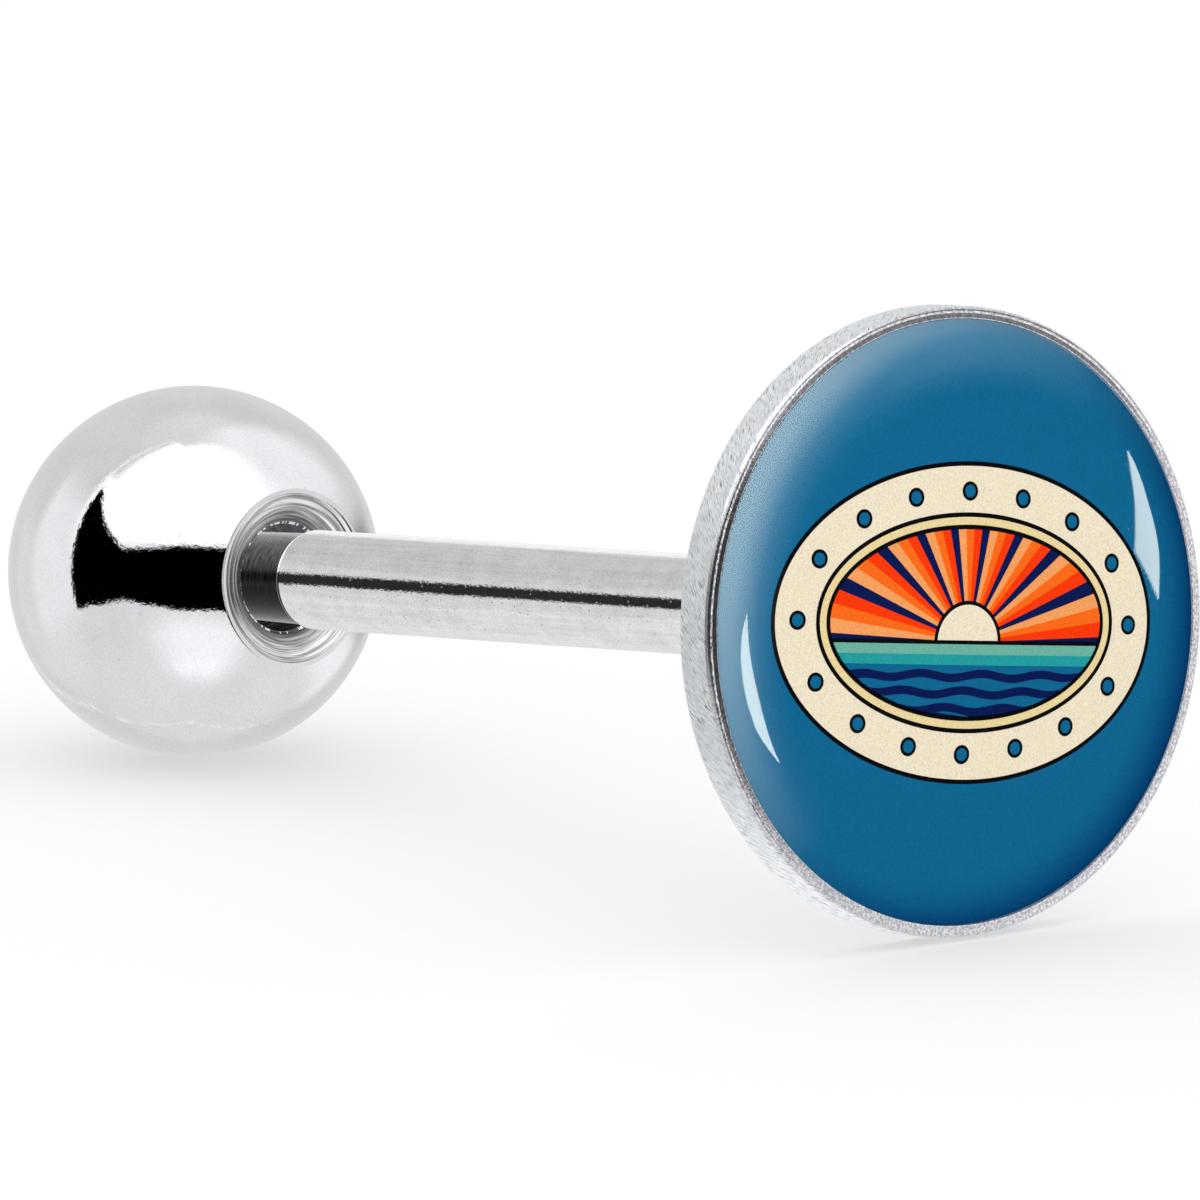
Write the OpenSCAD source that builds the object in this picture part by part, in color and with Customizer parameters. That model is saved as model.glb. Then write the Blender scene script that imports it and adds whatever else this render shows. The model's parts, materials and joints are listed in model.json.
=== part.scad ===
/* [Ball] */
// Diameter of the screw-on ball
ball_d = 6; // [5:0.5:8]
// Outer diameter of the flat land around the seat
land_d = 2.88; // [2.6:0.02:3.4]
// Width of that land
land_w = 0.07; // [0.04:0.01:0.12]
// Depth of the turned dish below the land
dish_depth = 0.26; // [0.15:0.01:0.4]
// Depth of the straight pocket below the dish
pocket_depth = 0.8; // [0.5:0.05:1.2]
// Angle of the drilled point at the end of the bore, in degrees
drill_angle = 118; // [90:2:140]

/* [Post] */
// Diameter of the post, 14 gauge
post_d = 1.6; // [1.4:0.05:1.8]
// Wearing length, from the ball to the back of the cup
wear_len = 16; // [10:0.5:22]
// Distance from the ball to the shoulder where the full post begins
shoulder_gap = 0.2; // [0.05:0.05:0.5]
// Step in radius from the full post down to its neck
neck_step = 0.06; // [0.04:0.01:0.1]
// How much the neck's radius tapers from there to its end
neck_taper = 0.03; // [0.02:0.01:0.04]
// Diameter of the plain stud that stands for the thread
stud_d = 1.2; // [0.9:0.05:1.25]
// Length of that stud
stud_len = 2; // [1.5:0.1:2.4]
// Chamfer on the tip of the stud
tip_chamfer = 0.15; // [0.05:0.05:0.25]
// Leg of the solder fillet where the post meets the cup
fillet_leg = 0.2; // [0.1:0.05:0.4]

/* [Cup] */
// Outer diameter of the cup
cup_d = 10; // [8:0.5:13]
// Thickness of the cup at its wall
cup_t = 0.75; // [0.6:0.05:1.2]
// Width of the lip around the recess
lip_w = 0.2; // [0.15:0.05:0.4]
// Depth of the recess inside the lip
recess_depth = 0.25; // [0.2:0.05:0.4]
// Radius on the outer edges of the cup
edge_r = 0.08; // [0.04:0.02:0.12]

/* [Print and dome] */
// Thickness of the printed disc
print_t = 0.08; // [0.05:0.01:0.12]
// Height of the clear dome above the lip
dome_h = 1; // [0.8:0.1:1.6]
// Radius of the dome's steep edge, next to the lip
dome_edge_r = 1.2; // [0.8:0.1:1.4]
// Slope of the dome where it meets the lip, in degrees
rim_slope = 50; // [40:1:55]

/* [Clearances] */
// Around the neck in the ball's pocket
pocket_gap = 0.18; // [0.12:0.01:0.2]
// Around the stud in the ball's bore
stud_gap = 0.03; // [0.02:0.01:0.06]
// At the ends of the neck and of the stud
end_gap = 0.15; // [0.1:0.05:0.3]
// Around the print and the dome, inside the lip
side_gap = 0.03; // [0.02:0.01:0.05]
// Between the floor, the print and the dome
layer_gap = 0.01; // [0.01:0.01:0.02]

/* [Hidden] */
$fn = 96;

ball_r = ball_d / 2;
post_r = post_d / 2;
stud_r = stud_d / 2;
neck_r = post_r - neck_step;
cup_r = cup_d / 2;

// Heights along the barbell's own axis, from the centre of the ball towards the cup
land_z = sqrt(pow(ball_r, 2) - pow(land_d / 2, 2));
dish_z = land_z - dish_depth;
pocket_z = dish_z - pocket_depth;
shoulder_z = ball_r + shoulder_gap;
neck_z = pocket_z + end_gap;
stud_z = neck_z - stud_len;
bore_z = stud_z - end_gap;
cup_z = ball_r + wear_len;
lip_z = cup_z + cup_t;
floor_z = lip_z - recess_depth;
print_z = floor_z + layer_gap;
dome_z = print_z + print_t + layer_gap;

// How far a cut runs past the surface that it opens
cut_over = 1;

// Radii of the ball's seat, from the outside in
dish_r = land_d / 2 - land_w;
pocket_r = neck_r + pocket_gap;
bore_r = stud_r + stud_gap;
drill_tip = bore_r / tan(drill_angle / 2);

// The recess and what lies in it
recess_r = cup_r - lip_w;
inlay_r = recess_r - side_gap;

// The dome's profile is an edge arc and a crown arc that meet without a break
edge_cr = inlay_r - dome_edge_r * sin(rim_slope);
edge_cz = lip_z - dome_edge_r * cos(rim_slope);
crown_slope = 2 * atan((dome_h - dome_edge_r * (1 - cos(rim_slope))) / edge_cr);
crown_r = dome_edge_r + edge_cr / sin(crown_slope);
crown_cz = lip_z + dome_h - crown_r;

// The barbell lies on its side, on the ball and the back edge of the cup
touch_z = cup_z + edge_r;
rest_tilt = atan2(cup_r, touch_z) - asin(ball_r / norm([touch_z, cup_r]));
crown_x = crown_cz * cos(rest_tilt) + crown_r;
lip_x = lip_z * cos(rest_tilt) + cup_r * sin(rest_tilt);
ball_x = (ball_r - max(crown_x, lip_x)) / 2;

// Points [radius, height] of an arc, with the slope of the surface in degrees
function arc(cr, cz, r, from, to, steps) = [
    for (i = [0 : steps])
        let (slope = from + (to - from) * i / steps)
            [cr + r * sin(slope), cz + r * cos(slope)]
];

// From the barbell's own upright axis to where it lies
module laid_down() {
    translate([ball_x, 0, ball_r])
        rotate([0, 90 - rest_tilt, 0])
            children();
}

// Land, dish, pocket, bore and drill point, cut out of the ball in one turn
module seat_cut() {
    rotate_extrude()
        polygon([
            [0, bore_z - drill_tip],
            [bore_r, bore_z],
            [bore_r, pocket_z],
            [pocket_r, pocket_z],
            [pocket_r, dish_z],
            [dish_r, land_z],
            [ball_r, land_z],
            [ball_r, ball_r + cut_over],
            [0, ball_r + cut_over]
        ]);
}

module ball() {
    color("silver")
        laid_down()
            difference() {
                sphere(r = ball_r);
                seat_cut();
            }
}

// Stud, neck, post and cup are one soldered piece of steel
module post_and_cup() {
    back_edge = arc(cup_r - edge_r, cup_z + edge_r, edge_r, 180, 90, 4);
    front_edge = arc(cup_r - edge_r, lip_z - edge_r, edge_r, 90, 0, 4);
    color("lightgray")
        laid_down()
            rotate_extrude()
                polygon(concat(
                    [
                        [0, stud_z],
                        [stud_r - tip_chamfer, stud_z],
                        [stud_r, stud_z + tip_chamfer],
                        [stud_r, neck_z],
                        [neck_r - neck_taper, neck_z],
                        [neck_r, shoulder_z - neck_step],
                        [post_r, shoulder_z],
                        [post_r, cup_z - fillet_leg],
                        [post_r + fillet_leg, cup_z]
                    ],
                    back_edge,
                    front_edge,
                    [
                        [recess_r, lip_z],
                        [recess_r, floor_z],
                        [0, floor_z]
                    ]
                ));
}

module printed_disc() {
    color("steelblue")
        laid_down()
            translate([0, 0, print_z])
                cylinder(r = inlay_r, h = print_t);
}

module clear_dome() {
    edge = arc(edge_cr, edge_cz, dome_edge_r, rim_slope, crown_slope, 8);
    crown = arc(0, crown_cz, crown_r, crown_slope, 0, 10);
    color("lightblue", 0.4)
        laid_down()
            rotate_extrude()
                polygon(concat(
                    [
                        [0, dome_z],
                        [inlay_r, dome_z]
                    ],
                    edge,
                    [for (i = [1 : len(crown) - 1]) crown[i]]
                ));
}

ball();
post_and_cup();
printed_disc();
clear_dome();
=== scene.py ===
import json
import math

import bmesh
import bpy
import numpy as np
from mathutils import Matrix, Vector


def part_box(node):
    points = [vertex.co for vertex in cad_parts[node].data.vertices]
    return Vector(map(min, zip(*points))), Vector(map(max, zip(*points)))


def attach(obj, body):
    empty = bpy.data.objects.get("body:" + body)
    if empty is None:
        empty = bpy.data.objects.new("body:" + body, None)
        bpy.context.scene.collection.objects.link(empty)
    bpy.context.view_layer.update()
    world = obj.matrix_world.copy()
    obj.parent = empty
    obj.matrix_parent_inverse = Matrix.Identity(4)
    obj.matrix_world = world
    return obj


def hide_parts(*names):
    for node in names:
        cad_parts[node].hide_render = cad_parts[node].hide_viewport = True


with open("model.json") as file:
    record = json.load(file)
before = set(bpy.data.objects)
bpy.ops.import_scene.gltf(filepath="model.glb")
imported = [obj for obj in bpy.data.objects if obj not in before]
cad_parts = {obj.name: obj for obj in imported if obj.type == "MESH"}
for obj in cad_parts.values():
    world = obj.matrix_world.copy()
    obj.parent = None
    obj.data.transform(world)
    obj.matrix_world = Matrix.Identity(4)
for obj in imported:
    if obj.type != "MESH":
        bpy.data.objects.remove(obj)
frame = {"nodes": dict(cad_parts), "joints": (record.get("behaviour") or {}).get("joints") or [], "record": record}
bpy.context.view_layer.update()
print("frame loaded:", ", ".join(sorted(frame["nodes"])))

mm = 0.001
scene = bpy.context.scene

# Every piece is turned about one axis, which runs from the ball's centre to the cup
axis = -Vector(frame["joints"][0]["axis"]).normalized()
ballLow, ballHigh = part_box("ball")
ballRadius = (ballLow.z + ballHigh.z) / 2  # the ball lies on the floor, so its centre is one radius up
ballCentre = Vector((ballLow.x + ballRadius, 0, ballRadius))
level = Vector((0, 1, 0))
toRow = Matrix.Translation(ballCentre) @ Matrix((level, axis.cross(level), axis)).transposed().to_4x4()
toTurned = toRow.inverted()


# Heights run along the axis from the ball's centre, radii from the axis
def heightOf(point):
    return (toTurned @ Vector(point)).z


def reachOf(node):
    points = [toTurned @ v.co for v in frame["nodes"][node].data.vertices]
    heights = [p.z for p in points]
    return min(heights), max(heights), max(math.hypot(p.x, p.y) for p in points)


mounts = {m["name"]: m for m in frame["record"]["mounts"]}
postRadius = mounts["piercing_post"]["dims"]["r_mm"] * mm
cupBack = heightOf(mounts["cup_back"]["pos_m"])
landHeight = reachOf("ball")[1]
studTip, lipHeight, cupRadius = reachOf("post_and_cup")
printBottom, printTop, printRadius = reachOf("printed_disc")
domeBottom, domeTop, domeRadius = reachOf("clear_dome")
print("sizes read: ball %.2f mm, cup %.2f mm, length %.2f mm"
      % (2 * ballRadius / mm, 2 * cupRadius / mm, (domeTop + ballRadius) / mm))


# What a node gives out, so that the arithmetic in shaders and geometry trees is written as plain formulas
class Field:
    def __init__(self, tree, socket):
        self.tree = tree
        self.socket = socket

    def __add__(self, other):
        return calc("ADD", self, other)

    def __radd__(self, other):
        return calc("ADD", other, self)

    def __sub__(self, other):
        return calc("SUBTRACT", self, other)

    def __rsub__(self, other):
        return calc("SUBTRACT", other, self)

    def __mul__(self, other):
        return calc("MULTIPLY", self, other)

    def __rmul__(self, other):
        return calc("MULTIPLY", other, self)

    def __truediv__(self, other):
        return calc("DIVIDE", self, other)

    def __pow__(self, other):
        return calc("POWER", self, other)

    def __abs__(self):
        return calc("ABSOLUTE", self)


def feed(source, socket):
    if isinstance(source, Field):
        source.tree.links.new(source.socket, socket)
    else:
        socket.default_value = source


def addNode(tree, kind, inputs=None, **settings):
    node = tree.nodes.new(kind)
    for name, value in settings.items():
        setattr(node, name, value)
    for key, value in (inputs or {}).items():
        feed(value, node.inputs[key])
    return node


def output(tree, kind, inputs=None, pick=0, **settings):
    return Field(tree, addNode(tree, kind, inputs, **settings).outputs[pick])


def treeOf(*values):
    return next(value.tree for value in values if isinstance(value, Field))


def calc(operation, *values):
    return output(treeOf(*values), "ShaderNodeMath", dict(enumerate(values)), operation=operation)


def joined(x, y, z=0.0):
    return output(treeOf(x, y, z), "ShaderNodeCombineXYZ", {0: x, 1: y, 2: z})


def split(vector):
    parts = addNode(vector.tree, "ShaderNodeSeparateXYZ", {0: vector}).outputs
    return [Field(vector.tree, part) for part in parts]


def newTree(name, count, *numbers):  # its inputs: a mesh, a count, other numbers and a material
    tree = bpy.data.node_groups.new(name, "GeometryNodeTree")
    sockets = {"Geometry": "Geometry", count: "Int"}
    sockets.update(dict.fromkeys(numbers, "Float"), Material="Material")
    for label, kind in sockets.items():
        tree.interface.new_socket(label, in_out="INPUT", socket_type="NodeSocket" + kind)
    tree.interface.new_socket("Geometry", in_out="OUTPUT", socket_type="NodeSocketGeometry")
    start = tree.nodes.new("NodeGroupInput").outputs
    given = {label: Field(tree, start[label]) for label in sockets}
    return tree, given, tree.nodes.new("NodeGroupOutput").inputs[0]


def endTree(geometry, material, result):
    tree = geometry.tree
    real = output(tree, "GeometryNodeRealizeInstances", {"Geometry": geometry})
    smooth = output(tree, "GeometryNodeSetShadeSmooth", {"Geometry": real})
    feed(output(tree, "GeometryNodeSetMaterial", {"Geometry": smooth, "Material": material}), result)


def runTree(tree, mesh, values):
    carrier = bpy.data.objects.new("carrier", mesh)
    scene.collection.objects.link(carrier)
    modifier = carrier.modifiers.new("build", "NODES")
    modifier.node_group = tree
    for item in tree.interface.items_tree:
        if item.in_out == "INPUT" and item.name in values:
            modifier[item.identifier] = values[item.name]
    made = bpy.data.meshes.new_from_object(carrier.evaluated_get(bpy.context.evaluated_depsgraph_get()))
    carrier.modifiers.remove(modifier)
    bpy.data.objects.remove(carrier)
    real = [m for m in made.materials if m]
    made.materials.clear()
    for material in real:
        made.materials.append(material)
    for face in made.polygons:
        face.material_index = 0
    return made


# Turns a profile, a row of points at (radius, 0, height), round the axis as a lathe does
def makeTurningTree():
    tree, given, result = newTree(
        "turnedPiece", "Segments", "Mark depth", "Marks per metre", "Thread pitch", "Thread depth", "Seed")
    profile, segments = given["Geometry"], given["Segments"]
    count = output(tree, "GeometryNodeAttributeDomainSize", {"Geometry": profile}, "Point Count")
    grid = output(tree, "GeometryNodeMeshGrid", {"Vertices X": segments + 1, "Vertices Y": count}, "Mesh")
    index = output(tree, "GeometryNodeInputIndex")
    column = calc("FLOOR", (index + 0.5) / count)
    row = index - column * count
    turn = column / segments
    angle = turn * math.tau
    sine, cosine = calc("SINE", angle), calc("COSINE", angle)

    def named(label):
        return output(tree, "GeometryNodeInputNamedAttribute", {"Name": label}, data_type="FLOAT")

    def fromProfile(field, kind="FLOAT"):
        return output(tree, "GeometryNodeSampleIndex", {
            "Geometry": profile, "Value": field, "Index": row}, data_type=kind)

    def stored(mesh, label, value, kind="FLOAT", domain="POINT"):
        return output(tree, "GeometryNodeStoreNamedAttribute", {
            "Geometry": mesh, "Name": label, "Value": value}, data_type=kind, domain=domain)

    radius, _, height = split(fromProfile(output(tree, "GeometryNodeInputPosition"), "FLOAT_VECTOR"))
    rings = joined(radius * given["Marks per metre"], cosine * 0.15, sine * 0.15)
    noise = output(tree, "ShaderNodeTexNoise", {
        "Vector": rings, "W": given["Seed"], "Scale": 1.0, "Detail": 2.0}, noise_dimensions="4D")
    height = height + (noise - 0.5) * fromProfile(named("marked")) * given["Mark depth"]
    wound = height / given["Thread pitch"] - turn
    flank = abs(calc("FRACT", wound) * 2.0 - 1.0)
    radius = radius - flank * given["Thread depth"] * fromProfile(named("threaded"))
    mesh = stored(grid, "turn", turn)
    mesh = stored(mesh, "run", fromProfile(named("run")))
    mesh = output(tree, "GeometryNodeSetPosition", {
        "Geometry": mesh, "Position": joined(radius * cosine, radius * sine, height)})
    mesh = stored(mesh, "UVMap", joined(named("turn"), named("run")), "FLOAT2", "CORNER")
    mesh = output(tree, "GeometryNodeMergeByDistance", {"Geometry": mesh, "Distance": 1e-7})
    for label in ("turn", "run"):
        mesh = output(tree, "GeometryNodeRemoveAttribute", {"Geometry": mesh, "Name": label})
    endTree(mesh, given["Material"], result)
    return tree


turningTree = makeTurningTree()
print("turning tree ready")


# Profiles: a corner is (radius, height, rounding). Marks and threads fade out over an eighth of their length.
fadeRate = 8


def arc(centreRadius, centreHeight, size, start, end, steps):
    slopes = [math.radians(start + (end - start) * i / steps) for i in range(steps + 1)]
    return [(centreRadius + size * math.sin(s), centreHeight + size * math.cos(s), 0) for s in slopes]


def eased(corners, steps=5):
    rows = []
    for i, (radius, height, rounding) in enumerate(corners):
        here = Vector((radius, height))
        if not rounding:
            rows.append(here)
            continue
        before = (Vector(corners[i - 1][:2]) - here).normalized() * rounding
        after = (Vector(corners[i + 1][:2]) - here).normalized() * rounding
        for k in range(steps + 1):
            t = k / steps
            rows.append(here + before * (1 - t) ** 2 + after * t ** 2)
    return rows


def between(start, end, steps):
    return [(start[0] + (end[0] - start[0]) * i / steps, start[1] + (end[1] - start[1]) * i / steps, 0)
            for i in range(1, steps)]


def makeProfile(rows, marked=lambda p: 0.0, threaded=lambda p: 0.0):
    mesh = bpy.data.meshes.new("profile")
    mesh.from_pydata([(p.x, 0, p.y) for p in rows], [], [])
    run = [0.0]
    for a, b in zip(rows, rows[1:]):
        run.append(run[-1] + (b - a).length / mm)
    for label, numbers in (("run", run), ("marked", [marked(p) for p in rows]),
                           ("threaded", [threaded(p) for p in rows])):
        mesh.attributes.new(label, "FLOAT", "POINT").data.foreach_set("value", numbers)
    return mesh


def finishMesh(name, mesh, sharp=30):
    work = bmesh.new()
    work.from_mesh(mesh)
    bmesh.ops.recalc_face_normals(work, faces=work.faces)
    work.to_mesh(mesh)
    work.free()
    mesh.set_sharp_from_angle(angle=math.radians(sharp))
    mesh.transform(toRow)
    piece = bpy.data.objects.new(name, mesh)
    scene.collection.objects.link(piece)
    return piece


# Helpers for materials
def dress(shader, inputs):
    for label, value in inputs.items():
        feed(value, shader.inputs[label])


def newMaterial(name, inputs):
    material = bpy.data.materials.new(name)
    material.use_nodes = True
    tree = material.node_tree
    shader = tree.nodes["Principled BSDF"]
    dress(shader, inputs)
    return material, tree, shader


def newMetal(name, colour):
    return newMaterial(name, {"Base Color": (*colour, 1), "Metallic": 1.0})


def mapped(spot, scale=(1, 1, 1), turn=(0, 0, 0)):
    return output(spot.tree, "ShaderNodeMapping", {"Vector": spot, "Scale": scale, "Rotation": turn})


def objectSpot(tree, turn=(0, 0, 0), stretch=(1, 1, 1)):
    return mapped(mapped(output(tree, "ShaderNodeTexCoord", pick="Object"), turn=turn), stretch)


def uvSpot(tree):
    return output(tree, "ShaderNodeUVMap", uv_map="UVMap")


def surfaceSpot(tree, girth, turn=0.0, stretch=(1, 1, 1)):  # the piece's own UV map, in metres both ways
    return mapped(mapped(uvSpot(tree), (girth, mm, 1), (0, 0, -turn)), stretch)


def grain(tree, size, detail=2.0, spot=None):
    return output(tree, "ShaderNodeTexNoise", {
        "Vector": spot or objectSpot(tree), "Scale": 1 / (size * mm), "Detail": detail})


def spread(value, low, high, fromLow=0.0, fromHigh=1.0):
    return output(value.tree, "ShaderNodeMapRange", {
        "Value": value, "From Min": fromLow, "From Max": fromHigh, "To Min": low, "To Max": high})


def varied(noise, low, high):  # over the range that a noise mostly keeps to
    return spread(noise, low, high, 0.3, 0.7)


def specks(tree, cell, share, size):  # tiny round pits in a share of the cells
    found = addNode(tree, "ShaderNodeTexVoronoi", {
        "Vector": objectSpot(tree), "Scale": 1 / (cell * mm)}).outputs
    pick = output(tree, "ShaderNodeSeparateColor", {0: Field(tree, found["Color"])})
    near = spread(Field(tree, found["Distance"]), 1, 0, 0.5 * size / cell, size / cell)
    return near * calc("LESS_THAN", pick, share)


def hairlines(spot, width, lines=0.004):  # thin lines where a stretched noise crosses its middle
    return spread(abs(grain(spot.tree, width, 0.0, spot) - 0.5), 1, 0, 0, lines)


def tinted(colour, shade):  # one colour, lighter and darker by a factor
    return output(shade.tree, "ShaderNodeVectorMath", {0: colour[:3], 1: joined(shade, shade, shade)},
                  operation="MULTIPLY")


def dimmed(*marks):  # a factor of one, less each mark's share
    factor = 1.0
    for mark, depth in marks:
        factor = factor * (1.0 - mark * depth)
    return factor


def bumped(*layers):  # each layer is a height and its depth in millimetres
    normal = {}
    for height, depth in layers:
        inputs = {"Height": height, "Distance": depth * mm, "Strength": 1.0, **normal}
        normal = {"Normal": output(height.tree, "ShaderNodeBump", inputs)}
    return normal


# Camera: aimed so that the ball's centre and the back of the cup fall where the photo has them
view = {"azimuth": 51.66, "elevation": 10.54, "lens": 1400.0, "sensor": 36.0,
        "imageSize": 1200.0, "ballPixel": (189.8, 571.2), "cupPixel": (923.5, 620.0)}
azimuth, elevation = math.radians(view["azimuth"]), math.radians(view["elevation"])
towardCamera = Vector((math.cos(elevation) * math.sin(azimuth),
                       -math.cos(elevation) * math.cos(azimuth), math.sin(elevation)))
cameraRight = Vector((math.cos(azimuth), math.sin(azimuth), 0))
cameraUp = towardCamera.cross(cameraRight)


def makeCamera():
    cupSpot = toRow @ Vector((0, 0, cupBack))
    across = cupSpot - ballCentre
    seen = math.hypot(across.dot(cameraRight), across.dot(cameraUp))
    perPixel = seen / math.dist(view["ballPixel"], view["cupPixel"])
    middle = [(a + b) / 2 - view["imageSize"] / 2 for a, b in zip(view["ballPixel"], view["cupPixel"])]
    aim = (ballCentre + cupSpot) / 2 - cameraRight * middle[0] * perPixel + cameraUp * middle[1] * perPixel
    distance = view["lens"] * perPixel * view["imageSize"] / view["sensor"]
    lens = bpy.data.cameras.new("camera")
    lens.lens = view["lens"]
    lens.sensor_width = view["sensor"]
    lens.clip_start = distance / 10
    lens.clip_end = distance * 10
    camera = bpy.data.objects.new("camera", lens)
    camera.location = aim + towardCamera * distance
    camera.rotation_euler = towardCamera.to_track_quat("Z", "Y").to_euler()
    scene.collection.objects.link(camera)
    scene.camera = camera
    print("camera at %.3f m, frame %.2f mm wide" % (distance, perPixel * view["imageSize"] / mm))


makeCamera()

# The screw-on ball: bore, pocket and turned dish, land, sphere
ballSizes = {
    "boreRadius": 0.63 * mm, "boreEnd": -0.428 * mm, "drillTip": 0.38 * mm,
    "pocketRadius": 0.87 * mm, "pocketDepth": 0.8 * mm, "dishDepth": 0.26 * mm, "landWidth": 0.07 * mm,
    "rimRounding": 0.02 * mm, "burr": 0.025 * mm, "threadPitch": 0.25 * mm, "threadDepth": -0.08 * mm,
    "markDepth": 0.05 * mm, "marksPerMetre": 16000.0, "dishRows": 80, "boreRows": 64, "ballRows": 140,
    "segments": 320, "seed": 3.0, "dishRun": (3.8, 4.12), "dishPaintedShade": (0.12, 0.92),
    "burrWaves": (3, 17, 41, 73), "burrLevel": 0.4}


def makePolishedSteel():
    material, tree, shader = newMetal("polishedSteel", (0.82, 0.82, 0.83))
    fine = grain(tree, size=0.03, detail=3.0)
    ripple = grain(tree, size=0.07)
    wide = grain(tree, size=1.1)
    pits = specks(tree, cell=0.2, share=0.3, size=0.014)
    dust = specks(tree, cell=0.09, share=0.35, size=0.012)
    lines = hairlines(objectSpot(tree, turn=(0.5, 0.3, 0.9), stretch=(1, 9, 9)), width=2.5, lines=0.003)
    shade = dimmed((pits, 0.5), (dust, 0.12), (lines, 0.09))
    shade = shade * (varied(wide, 0.96, 1.04) * varied(fine, 0.93, 1.07))
    dress(shader, {
        "Base Color": tinted((0.82, 0.82, 0.835), shade),
        "Roughness": varied(ripple, 0.015, 0.04) + lines * 0.1,
        **bumped((ripple, 0.0013), (pits, -0.002))})
    return material


def makeTurnedSteel():
    material, tree, shader = newMetal("turnedSteel", (0.84, 0.84, 0.86))
    rings = grain(tree, size=0.055, detail=3.0, spot=surfaceSpot(tree, 0.4 * mm))
    hair = grain(tree, size=0.02, spot=surfaceSpot(tree, 0.12 * mm))
    # painted shade: the dish grows darker inwards, towards the pocket
    paintedShadeInward = spread(split(uvSpot(tree))[1], *ballSizes["dishPaintedShade"], *ballSizes["dishRun"])
    shade = spread(rings, 0.5, 1.2, 0.4, 0.6) * paintedShadeInward * spread(hair, 0.6, 1.15, 0.4, 0.6)
    dress(shader, {
        "Base Color": tinted((0.84, 0.84, 0.86), shade), "Roughness": varied(hair, 0.22, 0.12),
        **bumped((rings, 0.004), (hair, 0.001))})
    return material


def makePaintedShadeSteel(name, colour, metal):  # the neck and the pocket, darker steel with painted shade for the shadow inside the pocket
    material, tree, shader = newMaterial(name, {
        "Base Color": (*colour, 1), "Metallic": metal, "Specular IOR Level": 0.0})
    rings = grain(tree, size=0.04, detail=4.0, spot=surfaceSpot(tree, 0.8 * mm))
    turn = split(uvSpot(tree))[0]
    side = calc("COSINE", (turn - 0.08) * math.tau)  # painted shade, darkest low on the side toward the camera
    shade = spread(side, 0.02, 1.35, -0.95, 1) * spread(rings, 0.4, 1.4, 0.35, 0.65)
    dress(shader, {
        "Base Color": tinted(colour, shade), "Roughness": varied(rings, 0.18, 0.3), **bumped((rings, 0.003))})
    return material


def makeBall():
    size = ballSizes
    landRadius = math.sqrt(ballRadius ** 2 - landHeight ** 2)
    dishRadius = landRadius - size["landWidth"]
    dishFloor = landHeight - size["dishDepth"]
    pocketFloor = dishFloor - size["pocketDepth"]
    boreFoot, boreTop = (size["boreRadius"], size["boreEnd"]), (size["boreRadius"], pocketFloor)
    steepness = size["dishDepth"] / (dishRadius - size["pocketRadius"])
    footWidth = 1.5 * size["burr"]
    dishFoot = (size["pocketRadius"] + footWidth, dishFloor + footWidth * steepness)
    corners = [(0, size["boreEnd"] - size["drillTip"], 0), (*boreFoot, 0)]
    corners += between(boreFoot, boreTop, size["boreRows"])
    corners += [(*boreTop, 0), (size["pocketRadius"], pocketFloor, 0),
                (size["pocketRadius"], dishFloor, size["burr"]), (*dishFoot, 0)]
    corners += between(dishFoot, (dishRadius, landHeight), size["dishRows"])
    corners += [(dishRadius, landHeight, 0), (landRadius, landHeight, size["rimRounding"])]
    landSlope = math.degrees(math.asin(landRadius / ballRadius))
    corners += arc(0, 0, ballRadius, landSlope, 180, size["ballRows"])[1:]

    def inDish(p):
        across = (p.x - size["pocketRadius"]) / (dishRadius - size["pocketRadius"])
        return max(0.0, min(1.0, fadeRate * across, fadeRate * (1 - across))) if p.y > dishFloor else 0.0

    def inBore(p):
        depth = (p.y - size["boreEnd"]) / (pocketFloor - size["boreEnd"])
        onWall = abs(p.x - size["boreRadius"]) < 1e-6
        return max(0.0, min(1.0, fadeRate * depth, fadeRate * (1 - depth))) if onWall else 0.0

    mesh = runTree(turningTree, makeProfile(eased(corners), inDish, inBore), {
        "Segments": size["segments"], "Seed": size["seed"], "Mark depth": size["markDepth"],
        "Marks per metre": size["marksPerMetre"], "Thread pitch": size["threadPitch"],
        "Thread depth": size["threadDepth"], "Material": makePolishedSteel()})
    mesh.materials.append(makeTurnedSteel())
    mesh.materials.append(makePaintedShadeSteel("pocketPaintedShadeSteel", (0.28, 0.28, 0.3), 0.0))
    for face in mesh.polygons:  # inside the land nothing is polished, but the burr sparkles here and there; elsewhere on the burr the dish's painted shade makes a dark line
        x, y, height = face.center
        radius = math.hypot(x, y)
        if radius < dishRadius and height > size["boreEnd"] - size["drillTip"]:
            # below the dish the pocket and bore take the darker steel with painted shade
            face.material_index = 1 if height > dishFloor - size["markDepth"] else 2
            if radius < dishFoot[0] and height > dishFloor - size["burr"]:
                sparkle = sum(math.sin(turns * math.atan2(y, x) + turns) for turns in size["burrWaves"])
                face.material_index = 0 if sparkle > size["burrLevel"] else 1
    piece = finishMesh("ball_polished", mesh)
    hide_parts("ball")
    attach(piece, "ball")
    print("ball made:", len(mesh.polygons), "faces")
    return piece


pieces = {"ball": makeBall()}

# The post with its threaded stud, neck and shoulder, up to the fillet where it is soldered to the cup
postSizes = {
    "studRadius": 0.6 * mm, "tipChamfer": 0.15 * mm, "threadPitch": 0.25 * mm, "threadDepth": 0.1 * mm,
    "neckRadius": 0.74 * mm, "neckTaper": 0.03 * mm, "neckStart": 1.722 * mm, "shoulderGap": 0.2 * mm,
    "shoulderStep": 0.06 * mm, "shoulderRounding": 0.06 * mm, "fillet": 0.2 * mm, "rooted": 0.05 * mm,
    "paintedShadeLowSide": 0.2 * mm, "threadRows": 96, "neckRows": 24, "postRows": 60, "segments": 192}


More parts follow.
